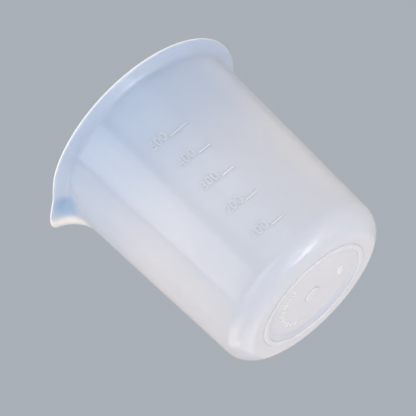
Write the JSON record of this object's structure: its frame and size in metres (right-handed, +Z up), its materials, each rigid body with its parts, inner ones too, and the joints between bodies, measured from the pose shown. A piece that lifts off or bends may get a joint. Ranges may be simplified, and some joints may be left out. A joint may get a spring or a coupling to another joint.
{
  "type": "laboratory beaker",
  "caption": "Low-form plastic laboratory beaker with an outward brim, a drawn pouring spout, raised graduation bars and a foot ring around a recessed base.",
  "frame": {"origin": "middle of the bounding box's underside, on the plane that the foot ring rests on; the vessel's own axis stands at x = +3 mm", "axes": "+Z up out of the mouth, -X out of the spout, -Y to the side with the graduation"},
  "size_m": [0.1174, 0.1114, 0.1175],
  "materials": {
    "polypropylene": "milky natural polypropylene, satin"
  },
  "bodies": {
    "root": {"beaker_body": "polypropylene"}
  },
  "joints": []
}
